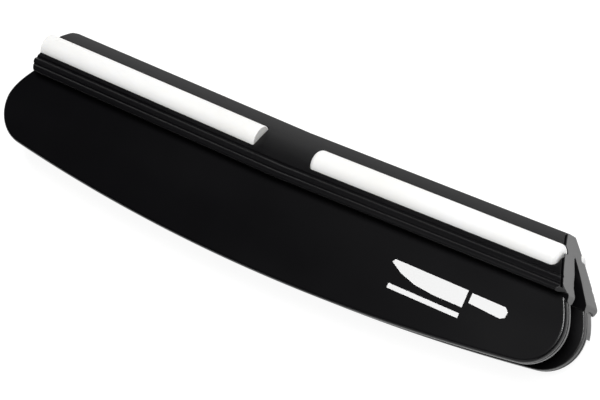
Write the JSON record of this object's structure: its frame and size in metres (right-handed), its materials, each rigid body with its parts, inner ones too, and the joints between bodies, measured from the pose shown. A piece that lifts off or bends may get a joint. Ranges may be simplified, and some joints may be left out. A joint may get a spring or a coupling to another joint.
{
  "type": "knife sharpening angle guide",
  "caption": "Clip-on guide that slips over the spine of a knife blade and rides on a whetstone on hard ceramic rods, holding a steady sharpening angle.",
  "frame": {"origin": "centre of the lowest face of the bounding box, with the guide lying on its rear side", "axes": "+X along the ridge towards the slanted closed end, +Y from the open edge up to the ridge, +Z out of the front jaw"},
  "size_m": [0.1046, 0.0234, 0.0158],
  "materials": {
    "body_plastic": "satin black with a fine moulded texture",
    "rod_ceramic": "white, finely ground, semi-matt"
  },
  "bodies": {
    "rear_half": {"rear_jaw": "body_plastic", "spine_spring": "body_plastic", "rear_rod_left": "rod_ceramic", "rear_rod_right": "rod_ceramic"},
    "front_half": {"front_jaw": "body_plastic", "front_rod_left": "rod_ceramic", "front_rod_right": "rod_ceramic"}
  },
  "joints": [
    {"name": "jaw_flex", "type": "hinge", "parent": "rear_half", "child": "front_half", "pos_m": [0, 0.01005, 0.0079], "axis": [-1, 0, 0], "range_deg": [0, 8], "stiffness_Nm_per_rad": 0.8}
  ]
}
